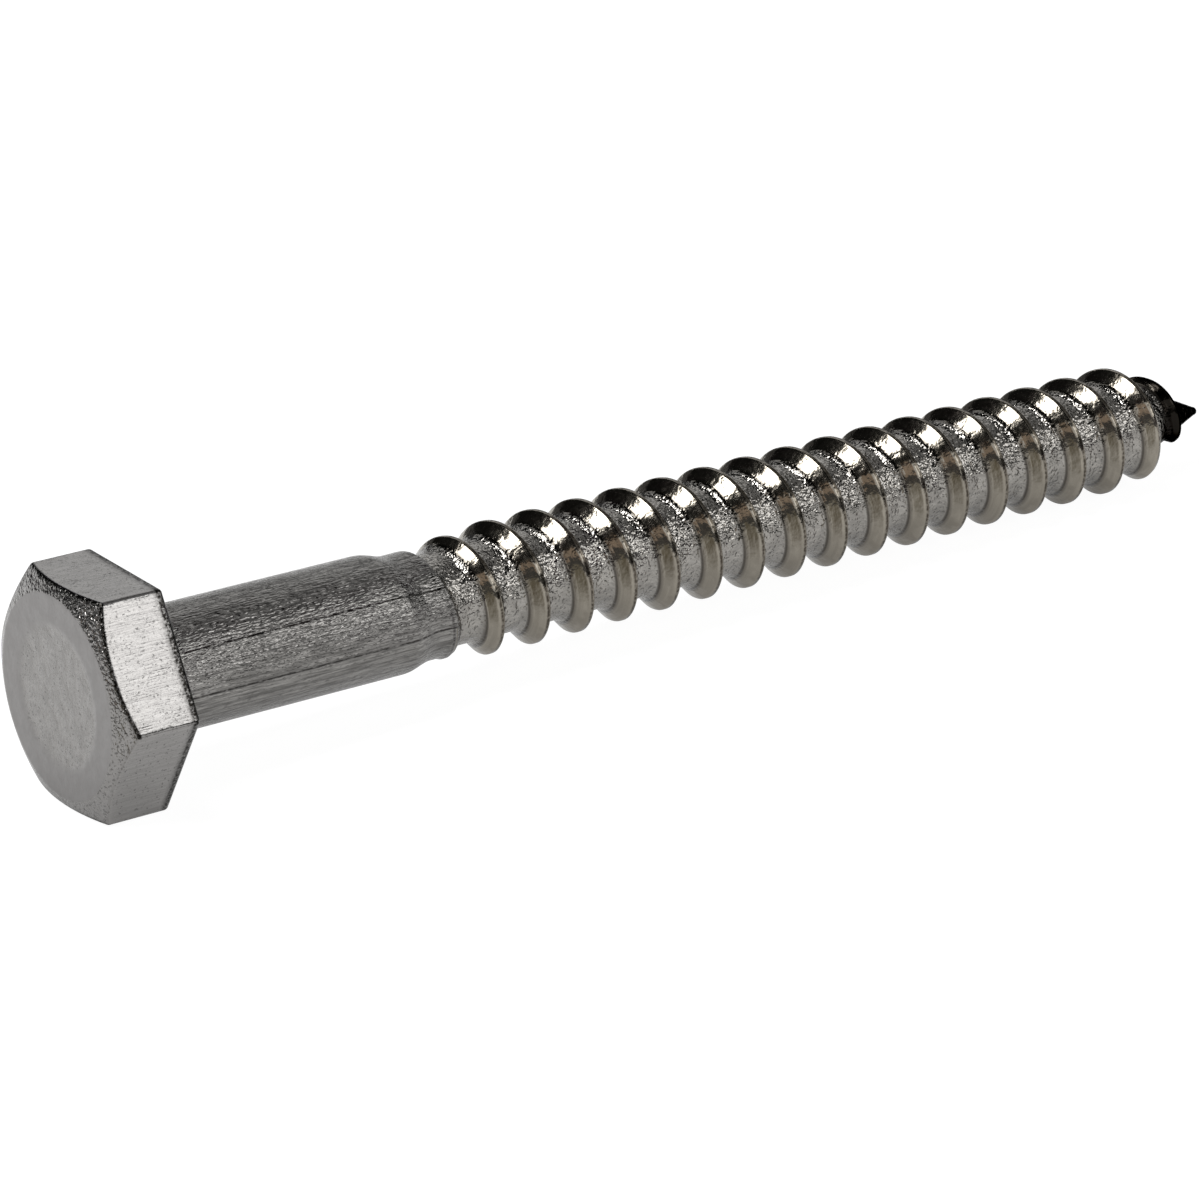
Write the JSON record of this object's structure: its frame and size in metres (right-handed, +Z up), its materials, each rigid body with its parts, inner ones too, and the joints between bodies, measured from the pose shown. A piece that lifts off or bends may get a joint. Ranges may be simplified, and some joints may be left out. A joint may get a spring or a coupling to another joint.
{
  "type": "coach screw",
  "caption": "Hex-headed steel wood screw with a plain shank, a coarse right-hand wood thread and a gimlet point, lying on its side as it comes to rest.",
  "frame": {"origin": "centre of the head's underside, on the screw's axis", "axes": "+Z up with the screw lying at rest on one flat of its head and on the thread's crests; +X towards the point. The screw's own axis runs 2.24 degrees below +X in the XZ plane, and is the axis of the mounts bearing_face and shank."},
  "size_m": [0.1072, 0.0196, 0.0172],
  "materials": {
    "stainless_steel": "bright cold-headed and thread-rolled stainless steel, drawn streaks along the shank"
  },
  "bodies": {
    "root": {"coach_screw": "stainless_steel"}
  },
  "joints": []
}
